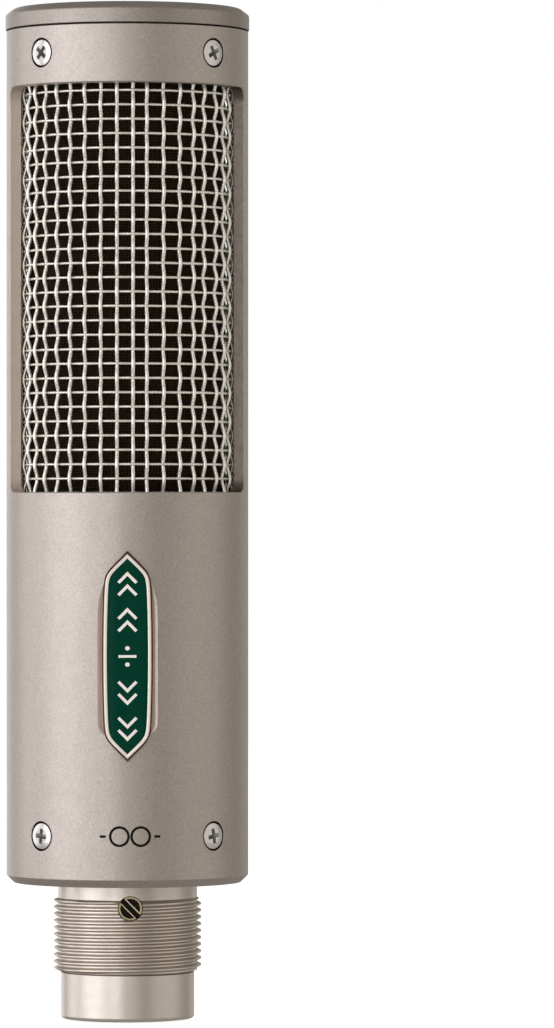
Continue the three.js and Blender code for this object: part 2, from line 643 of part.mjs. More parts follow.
addTube();
addCap();
addStem();
addCasingScrews();
addScreens();
addBadge();
addConnector();
addChassis();
addTransformer();
addMotor();
addRibbon();
addIsolators();
addLeads();

export default microphone;
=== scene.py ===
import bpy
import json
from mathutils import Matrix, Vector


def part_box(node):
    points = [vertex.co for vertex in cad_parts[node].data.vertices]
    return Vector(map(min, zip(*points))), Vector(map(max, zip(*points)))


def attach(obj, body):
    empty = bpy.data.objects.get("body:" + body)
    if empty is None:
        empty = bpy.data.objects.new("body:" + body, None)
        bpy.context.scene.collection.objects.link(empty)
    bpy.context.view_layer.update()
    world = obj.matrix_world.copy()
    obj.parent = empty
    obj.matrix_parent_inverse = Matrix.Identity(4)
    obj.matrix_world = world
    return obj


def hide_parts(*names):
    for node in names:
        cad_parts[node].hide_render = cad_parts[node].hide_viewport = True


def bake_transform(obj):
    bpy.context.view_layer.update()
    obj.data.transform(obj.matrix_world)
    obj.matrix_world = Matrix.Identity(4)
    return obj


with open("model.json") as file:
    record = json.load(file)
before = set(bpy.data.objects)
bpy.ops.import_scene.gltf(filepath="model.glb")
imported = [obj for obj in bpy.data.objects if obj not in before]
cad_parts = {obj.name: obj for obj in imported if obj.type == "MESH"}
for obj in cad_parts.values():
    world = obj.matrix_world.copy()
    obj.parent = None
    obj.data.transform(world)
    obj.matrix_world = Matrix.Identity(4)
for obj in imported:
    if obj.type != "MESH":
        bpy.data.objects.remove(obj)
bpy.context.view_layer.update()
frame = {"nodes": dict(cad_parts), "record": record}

import json
import math

import bmesh
import bpy
import numpy as np
from mathutils import Vector
from mathutils.geometry import delaunay_2d_cdt

# Shapes are drawn in millimetres in the row frame and scaled to metres as each mesh is made. An angle
# of 0 is the front, -Y, and grows towards +X.
MM = 0.001


def box_mm(node):
    """A CAD node's lowest and highest corners, in millimetres."""
    return [[value / MM for value in corner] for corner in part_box(node)]


(_, _, TUBE_LOW), (BODY_R, _, TUBE_HIGH) = box_mm("body_tube")
(_, _, CAP_LOW), (CAP_R, _, CAP_HIGH) = box_mm("top_cap")
PLUG_R, _, PLUG_HIGH = box_mm("base_stem")[1]
(_, _, SCREEN_LOW), (_, _, SCREEN_HIGH) = box_mm("outer_screen")
(_, _, BADGE_LOW), (BADGE_HALF, _, BADGE_HIGH) = box_mm("badge_plate")
BACK_HALF = box_mm("badge_backplate")[1][0]
(_, _, INSERT_LOW), (INSERT_R, _, INSERT_HIGH) = box_mm("xlr_insert")
TUBE_PLAY = 0.3  # between the tube and what slides into it
TUBE_BORE = PLUG_R + TUBE_PLAY
CASING_ANGLES = (45, 135, 225, 315)
CAP_SCREW_Z, BASE_SCREW_Z = (
    sum(corner[2] for corner in box_mm(f"{kind}_screw_1")) / 2 for kind in ("cap", "base")
)


# ---- materials ---------------------------
def shader_of(material):
    return next(node for node in material.node_tree.nodes if node.type == "BSDF_PRINCIPLED")


def principled(name):
    material = bpy.data.materials.new(name)
    material.use_nodes = True
    return material, material.node_tree, shader_of(material)


def noise(tree, scale, detail=2.0, stretch=(1, 1, 1), roughness=0.5):
    """A noise texture on the row frame's coordinates, in features per metre."""
    coordinates = tree.nodes.new("ShaderNodeTexCoord")
    mapping = tree.nodes.new("ShaderNodeMapping")
    mapping.inputs["Scale"].default_value = stretch
    texture = tree.nodes.new("ShaderNodeTexNoise")
    texture.inputs["Scale"].default_value = scale
    texture.inputs["Detail"].default_value = detail
    texture.inputs["Roughness"].default_value = roughness
    tree.links.new(coordinates.outputs["Object"], mapping.inputs["Vector"])
    tree.links.new(mapping.outputs["Vector"], texture.inputs["Vector"])
    return texture.outputs["Fac"]


def ranged(tree, value, low, high, start=0.3, end=0.7):
    node = tree.nodes.new("ShaderNodeMapRange")
    node.inputs["From Min"].default_value = start
    node.inputs["From Max"].default_value = end
    node.inputs["To Min"].default_value = low
    node.inputs["To Max"].default_value = high
    tree.links.new(value, node.inputs["Value"])
    return node.outputs["Result"]


def mixed(tree, factor, dark, light):
    node = tree.nodes.new("ShaderNodeMix")
    node.data_type = "RGBA"
    node.inputs["A"].default_value = (*dark, 1)
    node.inputs["B"].default_value = (*light, 1)
    tree.links.new(factor, node.inputs["Factor"])
    return node.outputs["Result"]


def bumped(tree, shader, height, distance):
    node = tree.nodes.new("ShaderNodeBump")
    node.inputs["Distance"].default_value = distance
    tree.links.new(height, node.inputs["Height"])
    tree.links.new(node.outputs["Normal"], shader.inputs["Normal"])


def surface(
    name, colour, metallic, roughness, spread=0.05, tone=0.08, tone_scale=90,
    grain_scale=4000, grain_mm=0.004, stretch=(1, 1, 1), coat=0.0,
):
    """A finish with a slow change of tone, a change of roughness and a fine grain in the surface."""
    material, tree, shader = principled(name)
    shader.inputs["Metallic"].default_value = metallic
    shader.inputs["Coat Weight"].default_value = coat
    dark = [value * (1 - tone) for value in colour]
    light = [min(1, value * (1 + tone)) for value in colour]
    slow = noise(tree, tone_scale, detail=4)
    tree.links.new(mixed(tree, slow, dark, light), shader.inputs["Base Color"])
    patches = noise(tree, tone_scale * 6, detail=3)
    rough = ranged(tree, patches, roughness - spread, roughness + spread)
    tree.links.new(rough, shader.inputs["Roughness"])
    bumped(tree, shader, noise(tree, grain_scale, stretch=stretch), grain_mm * MM)
    return material


def speckled(material, scale, amount):
    """Breaks up a material's colour with fine light and dark specks, as blasting leaves."""
    tree, shader = material.node_tree, shader_of(material)
    base = shader.inputs["Base Color"].links[0].from_socket
    specks = ranged(tree, noise(tree, scale, detail=3, roughness=0.7), 1 - amount, 1 + amount)
    node = tree.nodes.new("ShaderNodeVectorMath")
    node.operation = "SCALE"
    tree.links.new(base, node.inputs[0])
    tree.links.new(specks, node.inputs["Scale"])
    tree.links.new(node.outputs["Vector"], shader.inputs["Base Color"])
    return material


def blasted(name, colour):
    """The bead-blasted nickel of the tube and the cap."""
    return speckled(surface(name, colour, 1, 0.46, 0.02, 0.012, 90, 5200, 0.014), 3000, 0.14)


def cloth(name, colour, wires, pitch_mm):
    """Fine dark wire cloth on a cylinder about the Z axis: so many wires around, and a pitch up it."""
    material, tree, shader = principled(name)
    coordinates = tree.nodes.new("ShaderNodeTexCoord")
    split = tree.nodes.new("ShaderNodeSeparateXYZ")
    tree.links.new(coordinates.outputs["Object"], split.inputs["Vector"])

    def maths(operation, *inputs):
        node = tree.nodes.new("ShaderNodeMath")
        node.operation = operation
        for socket, value in zip(node.inputs, inputs):
            if isinstance(value, (int, float)):
                socket.default_value = value
            else:
                tree.links.new(value, socket)
        return node.outputs["Value"]

    angle = maths("ARCTAN2", split.outputs["X"], split.outputs["Y"])
    uprights = maths("ABSOLUTE", maths("SINE", maths("MULTIPLY", angle, wires / 2)))
    rows = maths("MULTIPLY", split.outputs["Z"], math.pi / (pitch_mm * MM))
    hoops = maths("ABSOLUTE", maths("SINE", rows))
    weave = maths("MAXIMUM", uprights, hoops)
    uneven = ranged(tree, noise(tree, 900, detail=3), 0.5, 1.0)
    shade = maths("MULTIPLY", maths("POWER", weave, 3), uneven)
    dark = [value * 0.15 for value in colour]
    tree.links.new(mixed(tree, shade, dark, colour), shader.inputs["Base Color"])
    tree.links.new(ranged(tree, shade, 0.75, 0.4, 0, 1), shader.inputs["Roughness"])
    shader.inputs["Metallic"].default_value = 0.25
    bumped(tree, shader, weave, 0.15 * MM)
    return material


# Colour, metallic, roughness and its spread, change of tone and its scale, the grain's scale, depth in
# millimetres and stretch, and a coat.
SURFACES = {
    "bright_nickel": ((0.95, 0.86, 0.80), 1, 0.16, 0.04, 0.03, 300, 3000, 0.002),
    "screen_wire": ((1.0, 0.955, 0.865), 0.70, 0.28, 0.06, 0.05, 700, 5000, 0.004),
    "screw_steel": ((0.80, 0.79, 0.765), 0.85, 0.24, 0.06, 0.04, 500, 2500, 0.002),
    "enamel": ((0.0, 0.040, 0.023), 0, 0.14, 0.03, 0.10, 500, 1500, 0.001),
    "brass": ((0.90, 0.68, 0.32), 1, 0.28, 0.06, 0.08, 600, 3500, 0.003),
    "contact": ((0.82, 0.66, 0.32), 1, 0.18, 0.05, 0.05, 400, 3000, 0.002),
    "connector_plastic": ((0.012, 0.012, 0.014), 0, 0.42, 0.08, 0.10, 300, 2600, 0.006),
    "aluminium": ((0.62, 0.63, 0.64), 1, 0.36, 0.07, 0.05, 150, 2500, 0.005, (1, 1, 9)),
    "magnet": ((0.52, 0.52, 0.50), 1, 0.30, 0.06, 0.06, 200, 900, 0.001),
    "iron": ((0.22, 0.21, 0.20), 1, 0.45, 0.10, 0.15, 250, 1800, 0.008, (1, 1, 12)),
    "foil": ((0.88, 0.88, 0.89), 1, 0.14, 0.05, 0.03, 400, 3000, 0.002),
    "rubber": ((0.016, 0.016, 0.016), 0, 0.80, 0.10, 0.20, 300, 1500, 0.02),
    "copper": ((0.50, 0.17, 0.06), 1, 0.30, 0.08, 0.12, 300, 900, 0.08, (0.02, 0.02, 6), 0.5),
    "can_metal": ((0.40, 0.38, 0.35), 1, 0.40, 0.08, 0.10, 120, 2200, 0.008),
    "board": ((0.20, 0.09, 0.035), 0, 0.55, 0.10, 0.20, 200, 900, 0.02, (1, 1, 0.15)),
    "wire": ((0.26, 0.014, 0.010), 0, 0.45, 0.08, 0.12, 300, 1800, 0.006),
}
MATERIALS = {name: surface(name, *values) for name, values in SURFACES.items()}
MATERIALS["satin_nickel"] = blasted("satin_nickel", (0.60, 0.553, 0.505))
MATERIALS["dark_mesh"] = cloth("dark_mesh", (0.032, 0.017, 0.011), 210, 0.44)
STEM_NICKEL = surface("stem_nickel", (0.80, 0.745, 0.675), 1, 0.38, 0.03, 0.02, 120, 4500, 0.006)
# Second finishes, for the parts of a piece that are painted black, unpolished or in a recess. Several of
# them are painted light: painted shade, lit and shaded copies, a painted highlight and a painted dark
# reflection, as marked at each.
# Black paint in the engraving, and painted shade on the walls of the screw seats.
PAINT_AND_SHADE = surface("black_paint_and_shade", (0.012, 0.011, 0.010), 0, 0.55, 0.10, 0.2, 400, 3000, 0.01)
# Lit and shaded copies of the windows' milled nickel: painted light on the left-hand cheeks, painted shade
# on the right-hand ones.
MILLED_PAINTED_LIT = surface("milled_nickel_painted_lit", (0.86, 0.765, 0.675), 1, 0.44, 0.05, 0.08, 200, 3000, 0.01, (1, 1, 6))
MILLED_SHADE = surface("milled_shade", (0.24, 0.213, 0.18), 1, 0.44, 0.05, 0.08, 200, 3000, 0.01, (1, 1, 6))
CAP_NICKEL = blasted("cap_nickel", (0.475, 0.438, 0.398))
# Painted shade for the floors and sides of the screws' cross recesses.
RECESS_PAINTED_SHADE = surface("recess_steel_painted_shade", (0.42, 0.41, 0.39), 0.7, 0.38, 0.08, 0.45, 1500, 3000, 0.006)
# Painted shade for the stem's thread.
THREAD_SHADE = surface("thread_shade", (0.56, 0.51, 0.43), 1, 0.40, 0.06, 0.1, 300, 3000, 0.004)
RIM = surface("badge_rim", (0.96, 0.89, 0.82), 0.55, 0.42, 0.04, 0.03, 300, 3000, 0.002)
MARK = surface("badge_mark", (0.98, 0.94, 0.88), 0.4, 0.32, 0.04, 0.03, 300, 3000, 0.002)
# Painted shade along the badge's lip where it stands on the tube, and on the rim's inner wall.
LIP_PAINTED_SHADE = surface("badge_lip_painted_shade", (0.055, 0.028, 0.019), 0, 0.50, 0.06, 0.15, 300, 3000, 0.004)
BACK_PLATE = surface("badge_back", (0.62, 0.525, 0.465), 0.7, 0.38, 0.05, 0.08, 300, 3000, 0.003)
# Painted shade on the back plate's band that runs under the badge.
GROOVE_PAINTED_SHADE = surface("badge_groove_painted_shade", (0.40, 0.30, 0.245), 0.4, 0.42, 0.06, 0.15, 300, 3000, 0.004)
# The lock screw's brass bevel, lightened as a painted highlight though it sits shaded in its hole.
BRASS_PAINTED_HIGHLIGHT = surface("brass_edge_painted_highlight", (1.0, 0.87, 0.56), 0.15, 0.30, 0.06, 0.08, 600, 3500, 0.002)
# Painted dark reflection on the lock screw's brass face.
BRASS_PAINTED_DARK_REFLECTION = surface("brass_painted_dark_reflection", (0.006, 0.004, 0.003), 0, 0.40, 0.08, 0.3, 900, 3000, 0.004)
# Dark and coloured coats that mirror little of the room.
DULL = [
    (MATERIALS["enamel"], 1.12), (MATERIALS["dark_mesh"], 1.12),
    (PAINT_AND_SHADE, 1.2), (BRASS_PAINTED_DARK_REFLECTION, 1.25), (LIP_PAINTED_SHADE, 1.25),
]
for material, index in DULL:
    shader_of(material).inputs["IOR"].default_value = index


# ---- mesh tools --------------------------
SHARP = 38  # degrees; a sharper corner than this is shaded as an edge
MERGED, DEGENERATE = 2e-7, 1e-7  # metres


def placed(name, data):
    """A new object in the scene."""
    item = bpy.data.objects.new(name, data)
    bpy.context.scene.collection.objects.link(item)
    return item


def mesh_of(name, verts, faces, finishes, indices, sharp):
    """A mesh from millimetre points; indices lists which of the finishes each face has."""
    mesh = bpy.data.meshes.new(name)
    mesh.from_pydata([[value * MM for value in vert] for vert in verts], [], faces)
    for finish in finishes:
        mesh.materials.append(finish)
    if indices is not None:
        mesh.polygons.foreach_set("material_index", indices)
    tidy(mesh, sharp)
    return mesh


def weigh(piece):
    """Lets the larger faces set the shading at shared points."""
    piece.modifiers.new("normals", "WEIGHTED_NORMAL").keep_sharp = True


def make(name, verts, faces, slot, body, nodes=(), finishes=(), indices=None, sharp=SHARP, weighted=True):
    """One piece. Its finish is its slot's unless finishes are given, and a piece without a body is left
    unattached."""
    piece = placed(name, mesh_of(name, verts, faces, finishes or [MATERIALS[slot]], indices, sharp))
    if weighted:
        weigh(piece)
    if body:
        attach(piece, body)
    if nodes:
        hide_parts(*nodes)
    return piece


def tidy(mesh, sharp):
    """Merges shared points, faces everything outwards, and shades smooth up to an angle."""
    work = bmesh.new()
    work.from_mesh(mesh)
    bmesh.ops.remove_doubles(work, verts=work.verts, dist=MERGED)
    bmesh.ops.dissolve_degenerate(work, edges=work.edges, dist=DEGENERATE)
    bmesh.ops.recalc_face_normals(work, faces=work.faces)
    for face in work.faces:
        face.smooth = True
    for edge in work.edges:
        if edge.is_manifold:
            edge.smooth = edge.calc_face_angle(0) < math.radians(sharp)
    work.to_mesh(mesh)
    work.free()


def cut(piece, *cutters, sharp=SHARP, index=0):
    """Subtracts closed shapes, each (verts, faces) in millimetres, from a piece. The new faces get
    the piece's finish with that index."""
    piece.modifiers.remove(piece.modifiers["normals"])
    for verts, faces in cutters:
        indices = [index] * len(faces)
        cutter = placed("cutter", mesh_of("cutter", verts, faces, piece.data.materials, indices, sharp))
        modifier = piece.modifiers.new("cut", "BOOLEAN")
        modifier.operation = "DIFFERENCE"
        modifier.solver = "EXACT"
        modifier.object = cutter
        depsgraph = bpy.context.evaluated_depsgraph_get()
        result = bpy.data.meshes.new_from_object(piece.evaluated_get(depsgraph))
        piece.modifiers.remove(modifier)
        piece.data = result
        bpy.data.objects.remove(cutter)
        tidy(piece.data, sharp)
    weigh(piece)


def rounded(points, radius, steps=4, closed=False):
    """A polyline with its corners rounded off, by one radius or by one for each point."""
    radii = radius if isinstance(radius, (list, tuple)) else [radius] * len(points)
    out = []
    for i, point in enumerate(points):
        corner = Vector(point)
        if (not closed and i in (0, len(points) - 1)) or not radii[i]:
            out.append(tuple(corner))
            continue
        before = Vector(points[i - 1]) - corner
        after = Vector(points[(i + 1) % len(points)]) - corner
        half = before.angle(after) / 2
        reach = min(radii[i] / math.tan(half), before.length / 2, after.length / 2)
        start, end = corner + before.normalized() * reach, corner + after.normalized() * reach
        for k in range(steps + 1):
            t = k / steps
            out.append(tuple(start * (1 - t) ** 2 + corner * 2 * t * (1 - t) + end * t**2))
    return out


def polar(radius, angle, z):
    """A point at a radius and a height, an angle in radians round from the front."""
    return radius * math.sin(angle), -radius * math.cos(angle), z


def strips(columns, count, closed=False):
    """Faces between one open column of count points and the next."""
    faces = []
    for i in range(columns if closed else columns - 1):
        a, b = i * count, (i + 1) % columns * count
        faces += [(a + k, b + k, b + k + 1, a + k + 1) for k in range(count - 1)]
    return faces


def bands(rings, count):
    """Faces between one closed ring of count points and the next."""
    faces = []
    for a in range(0, (rings - 1) * count, count):
        for i in range(count):
            j = (i + 1) % count
            faces.append((a + i, a + j, a + count + j, a + count + i))
    return faces


def turned(profile, segments, closed=False):
    """A lathe turning of (radius, z) points about the Z axis, as (verts, faces)."""
    rows = list(profile) + ([profile[0]] if closed else [])
    turns = [2 * math.pi * i / segments for i in range(segments)]
    verts = [polar(r, angle, z) for angle in turns for r, z in rows]
    return verts, strips(segments, len(rows), closed=True)


def rod(radius, low, high, segments):
    return turned([(0, low), (radius, low), (radius, high), (0, high)], segments)


def moved(shape, angle=0, z=0, spin=0):
    """Lays a shape drawn along Z out along the radius at an angle, after spinning it about its axis."""
    verts, faces = shape
    s, c = math.sin(math.radians(spin)), math.cos(math.radians(spin))
    out = []
    for x, y, depth in verts:
        across, up = c * x - s * y, s * x + c * y
        out.append((*around(across, depth, angle), z + up))
    return out, faces


def shifted(shape, x, y):
    verts, faces = shape
    return [(vx + x, vy + y, vz) for vx, vy, vz in verts], faces


def around(across, radius, angle):
    """The X and Y of a point at a radius towards an angle, and across from that line."""
    s, c = math.sin(math.radians(angle)), math.cos(math.radians(angle))
    return radius * s + across * c, -radius * c + across * s


def wrapped(across, z, radius):
    """A point of the unrolled tube, with across measured along its outer surface."""
    return polar(radius, across / BODY_R, z)


def joined(*shapes):
    verts, faces = [], []
    for more_verts, more_faces in shapes:
        start = len(verts)
        verts += list(more_verts)
        faces += [tuple(start + i for i in face) for face in more_faces]
    return verts, faces


def block(low, high):
    verts = [(x, y, z) for x in (low[0], high[0]) for y in (low[1], high[1]) for z in (low[2], high[2])]
    faces = [(0, 1, 3, 2), (4, 6, 7, 5), (0, 4, 5, 1), (2, 3, 7, 6), (0, 2, 6, 4), (1, 5, 7, 3)]
    return verts, faces


# ---- the tube ----------------------------
COLUMN_STEP = 1.5  # degrees
ARC = math.pi * BODY_R / 180  # millimetres along the surface for each degree
WINDOW_HALF_ANGLE = 75.9
WINDOW_LOW, WINDOW_HIGH = 82.6, 145.9
WINDOW_CORNER = 2.4
WINDOW_EDGE = 0.22
WINDOW_RING = 0.25  # width of the flat ring round each window
SCREW_RIM = 2.30
SCREW_MOUTH = 0.2  # width of the ring round each screw hole
MOUTH_EDGE = 0.06
SCREW_SEAT = 0.75
SEAT_DEPTH = 0.8
ENGRAVED_Z = 29.4
ENGRAVED_ACROSS = 0.4
ENGRAVED_DEPTH = 0.22
ENGRAVED_DRAFT = 0.03
LINE = 0.40
RING_R = 1.42
RING_APART = RING_R + LINE / 2 + 0.03
DASH_HALF = 0.5
DASH_APART = 4.25
BOTTOM_CHAMFER = 1.15
CHAMFER_BLEND = 0.2
TOP_EDGE = 0.12
CORNER_STEPS = 8
GRID_CLEAR = 0.35  # how far the skin's grid keeps from the edge of a hole


class Round:
    """A round hole in the unrolled tube."""

    def __init__(self, across, z, radius, count=48):
        self.centre, self.radius, self.count = (across, z), radius, count

    def loop(self, offset):
        turns = [2 * math.pi * i / self.count for i in range(self.count)]
        reach = self.radius + offset
        return [(self.centre[0] + reach * math.cos(t), self.centre[1] + reach * math.sin(t)) for t in turns]

    def distance(self, across, z):
        return math.hypot(across - self.centre[0], z - self.centre[1]) - self.radius


class Slot:
    """A rectangle with round corners in the unrolled tube."""

    def __init__(self, across, z, half_across, half_z, corner, step):
        self.centre, self.half, self.corner, self.step = (across, z), (half_across, half_z), corner, step

    def loop(self, offset):
        """Its outline, moved outwards by an offset, with the same points whatever the offset."""
        points = []
        reach = self.corner + offset
        corners = [(1, 1, 0), (-1, 1, 90), (-1, -1, 180), (1, -1, 270)]
        for sx, sz, start in corners:
            cx = self.centre[0] + sx * (self.half[0] - self.corner)
            cz = self.centre[1] + sz * (self.half[1] - self.corner)
            for k in range(CORNER_STEPS + 1):
                turn = math.radians(start + k * 90 / CORNER_STEPS)
                points.append((cx + reach * math.cos(turn), cz + reach * math.sin(turn)))
        out = []
        for i, point in enumerate(points):
            after = points[(i + 1) % len(points)]
            out.append(point)
            corner, k = divmod(i, CORNER_STEPS + 1)
            if k == CORNER_STEPS:
                side = self.half[0] if corner in (0, 2) else self.half[1]
                count = max(1, round(2 * (side - self.corner) / self.step))
                for k in range(1, count):
                    t = k / count
                    out.append((point[0] + (after[0] - point[0]) * t, point[1] + (after[1] - point[1]) * t))
        return out

    def distance(self, across, z):
        dx = abs(across - self.centre[0]) - self.half[0] + self.corner
        dz = abs(z - self.centre[1]) - self.half[1] + self.corner
        outside = math.hypot(max(dx, 0), max(dz, 0)) + min(max(dx, dz), 0)
        return outside - self.corner


def skin(columns, rows, holes, kept, radius):
    """The tube's surface at a radius, cut by holes given as (hole, offset); kept says what stays."""
    points, edges = [], []

    def line(more, closed=False):
        """Adds points, with an edge from each to the next."""
        start, count = len(points), len(more)
        points.extend(more)
        edges.extend((start + i, start + (i + 1) % count) for i in range(count if closed else count - 1))

    for hole, offset in holes:
        line(hole.loop(offset), closed=True)
    for z in (rows[0], rows[-1]):
        line([(column, z) for column in columns])
    for side in (columns[0], columns[-1]):
        line([(side, z) for z in rows[1:-1]])
    for column in columns[1:-1]:
        for z in rows[1:-1]:
            if all(abs(hole.distance(column, z) - offset) > GRID_CLEAR for hole, offset in holes):
                points.append((column, z))
    vectors = [Vector(point) for point in points]
    found, _, triangles, _, _, _ = delaunay_2d_cdt(vectors, edges, [], 0, 1e-6)
    faces = []
    for triangle in triangles:
        centre = sum((found[i] for i in triangle), Vector((0, 0))) / 3
        if kept(*centre):
            faces.append(tuple(triangle))
    return [wrapped(x, z, radius) for x, z in found], faces


def walls(hole, rings):
    """The sides of a hole through the tube, from (offset, radius) rings."""
    verts = [wrapped(x, z, radius) for offset, radius in rings for x, z in hole.loop(offset)]
    return verts, bands(len(rings), len(verts) // len(rings))


def edge_rings(edge, radius, steps=4):
    """Rings that round an outer edge over, from the surface into the wall."""
    turns = [math.pi / 2 * k / steps for k in range(steps + 1)]
    return [(edge * (1 - math.sin(t)), radius - edge * (1 - math.cos(t))) for t in turns]


def engraved(rings, dashes):
    """Floors and sides of the engraved ring and dash grooves, as one shape."""
    floor, draft = BODY_R - ENGRAVED_DEPTH, ENGRAVED_DRAFT
    shapes = []
    for outer, inner in rings:
        loops = [(outer, 0, BODY_R), (outer, -draft, floor), (inner, draft, floor), (inner, 0, BODY_R)]
        verts = [wrapped(x, z, radius) for loop, offset, radius in loops for x, z in loop.loop(offset)]
        shapes.append((verts, bands(len(loops), outer.count)))
    for dash in dashes:
        verts, faces = walls(dash, [(0, BODY_R), (-draft, floor)])
        count = len(verts) // 2
        faces.append(tuple(range(count, 2 * count)))
        shapes.append((verts, faces))
    return joined(*shapes)


def add_tube():
    angles = np.arange(-90, 270 + COLUMN_STEP / 2, COLUMN_STEP)
    columns = [float(angle) * ARC for angle in angles]
    middle = (WINDOW_LOW + WINDOW_HIGH) / 2
    half = (WINDOW_HALF_ANGLE * ARC, (WINDOW_HIGH - WINDOW_LOW) / 2)
    windows = [Slot(side * ARC, middle, *half, WINDOW_CORNER, COLUMN_STEP * ARC) for side in (0, 180)]
    screws = [
        Round((angle if angle < 270 else angle - 360) * ARC, z, SCREW_RIM)
        for angle in CASING_ANGLES
        for z in (BASE_SCREW_Z, CAP_SCREW_Z)
    ]
    rings = [
        [
            Round(ENGRAVED_ACROSS + side * RING_APART, ENGRAVED_Z, RING_R + half_line * LINE / 2)
            for half_line in (1, -1)
        ]
        for side in (-1, 1)
    ]
    dashes = [
        Slot(ENGRAVED_ACROSS + side * DASH_APART, ENGRAVED_Z, DASH_HALF, LINE / 2, LINE * 0.45, 0.5)
        for side in (-1, 1)
    ]

    support = WINDOW_EDGE + WINDOW_RING
    openings = [(window, support) for window in windows] + [(screw, SCREW_MOUTH) for screw in screws]
    outer_holes = openings + [(shape, 0) for pair in (*rings, dashes) for shape in pair]

    def outer_kept(x, z):
        in_ring = any(outer.distance(x, z) < 0 < inner.distance(x, z) for outer, inner in rings)
        in_dash = any(dash.distance(x, z) <= 0 for dash in dashes)
        return not in_ring and not in_dash and all(hole.distance(x, z) >= edge for hole, edge in openings)

    low, high = TUBE_LOW + BOTTOM_CHAMFER + CHAMFER_BLEND, TUBE_HIGH - TOP_EDGE
    rows = [float(z) for z in np.linspace(low, high, 40)]
    shapes = [skin(columns, rows, outer_holes, outer_kept, BODY_R)]
    window_rings = [(support, BODY_R), *edge_rings(WINDOW_EDGE, BODY_R), (0, TUBE_BORE)]
    cheeks = [walls(window, window_rings[-2:]) for window in windows]
    shapes += [walls(window, window_rings[:-1]) for window in windows]
    seat = BODY_R - SEAT_DEPTH
    mouth_rings = [(SCREW_MOUTH, BODY_R), *edge_rings(MOUTH_EDGE, BODY_R, 2)]
    seat_rings = [
        mouth_rings[-1], (0, seat), (-SCREW_SEAT, seat - SCREW_SEAT), (-SCREW_SEAT, TUBE_BORE),
    ]
    shapes += [walls(screw, mouth_rings) for screw in screws]
    # The seats' walls take the second finish: painted shade round each screw head.
    seats = [walls(screw, seat_rings) for screw in screws]

    inner_holes = [(window, 0) for window in windows] + [(screw, -SCREW_SEAT) for screw in screws]
    inner_rows = [float(z) for z in np.linspace(TUBE_LOW, TUBE_HIGH, 20)]
    shapes.append(
        skin(
            columns, inner_rows, inner_holes,
            lambda x, z: all(hole.distance(x, z) > offset for hole, offset in inner_holes), TUBE_BORE,
        )
    )
    top = rounded([(BODY_R, high), (BODY_R, TUBE_HIGH), (TUBE_BORE, TUBE_HIGH)], TOP_EDGE, 3)
    chamfer_r = BODY_R - BOTTOM_CHAMFER
    bottom = rounded(
        [(TUBE_BORE, TUBE_LOW), (chamfer_r, TUBE_LOW), (BODY_R, TUBE_LOW + BOTTOM_CHAMFER), (BODY_R, low)],
        [0, 0.12, 0.25, 0], 3,
    )
    for profile in (top, bottom):
        verts = [wrapped(column, z, radius) for column in columns for radius, z in profile]
        shapes.append((verts, strips(len(columns), len(profile))))
    # Finishes by group: the nickel, then black paint in the engraving with painted shade in the screw
    # seats, then the window cheeks.
    groups = [joined(*shapes), joined(engraved(rings, dashes), *seats), joined(*cheeks)]
    verts, faces = joined(*groups)
    indices = [index for index, (_, group) in enumerate(groups) for _ in group]
    # Cheeks on the right, x > 0, take the painted shade; those on the left keep the painted light.
    indices = [3 if index == 2 and verts[face[0]][0] > 0 else index for index, face in zip(indices, faces)]
    finishes = [MATERIALS["satin_nickel"], PAINT_AND_SHADE, MILLED_PAINTED_LIT, MILLED_SHADE]
    make("tube_shell", verts, faces, "satin_nickel", "casing", ["body_tube"], finishes, indices)


# ---- cap and stem ------------------------
CAP_CHAMFER_Z = 1.0
CAP_TOP_R = 17.8
CAP_SEAM = 0.25
SKIRT_BORE = 12.6
BOSS_R, BOSS_LOW = 9, 149
# Holes: the radius, and from where to where along their axis.
CAP_TAPPED, STEM_TAPPED = (1.3, 11, 18), (1.3, 12, 18)
LOCK_HOLE = (1.97, 7, 13)
STEM_BORE = 8.05
THREAD = {"low": 7.58, "high": 19.0, "root": 10.95, "crest": 11.6, "pitch": 1.066, "rows": 10}
THREAD_FLAT = 0.2  # share of the pitch, at the crest and at the root
BARREL_R = 10.5
RELIEF = (7.25, 10.1)
RUN_OUT = 0.25
# Height of the band at the top of the thread, under the collar, that is painted shade.
TOP_BAND = 0.3
LOCK_SLOT = (0.42, 0.75, 0.14)  # half width, depth and bevel
LOCK_SPIN = -45
SLOT_REACH = 3
LOCK = {"angle": 2.4, "z": 17.75, "r": 1.84, "face": 10.5, "inner": 6.0, "bevel": 0.28}


def add_cap():
    side_top = CAP_HIGH - CAP_CHAMFER_Z
    seam = TUBE_HIGH + CAP_SEAM
    profile = rounded(
        [
            (0, CAP_HIGH), (CAP_TOP_R, CAP_HIGH), (CAP_R, side_top), (CAP_R, seam), (PLUG_R, seam),
            (PLUG_R, CAP_LOW), (SKIRT_BORE, CAP_LOW), (SKIRT_BORE, seam), (BOSS_R, seam),
            (BOSS_R, BOSS_LOW), (0, BOSS_LOW),
        ],
        [0, 0.35, 0.5, 0.1, 0.1, 0.3, 0.3, 0.2, 0.2, 0.3, 0],
    )
    cap = make("cap_turning", *turned(profile, 240), "satin_nickel", "casing", ["top_cap"], [CAP_NICKEL])
    tapped = rod(*CAP_TAPPED, 24)
    cut(cap, *[moved(tapped, angle, CAP_SCREW_Z) for angle in CASING_ANGLES])


def thread_radius(z, angle):
    """The stem's radius on its threaded stretch: straight-sided ridges on a right-hand helix."""
    low, high, pitch = THREAD["low"], THREAD["high"], THREAD["pitch"]
    phase = ((z - low) / pitch - angle / (2 * math.pi)) % 1
    ridge = (1 - abs(2 * phase - 1) - THREAD_FLAT) / (1 - 2 * THREAD_FLAT)
    ridge = min(1, max(0, ridge))
    run_out = min(1, (z - low) / (RUN_OUT * pitch), (high - z) / (RUN_OUT * pitch))
    return THREAD["root"] + (THREAD["crest"] - THREAD["root"]) * ridge * max(0, run_out)


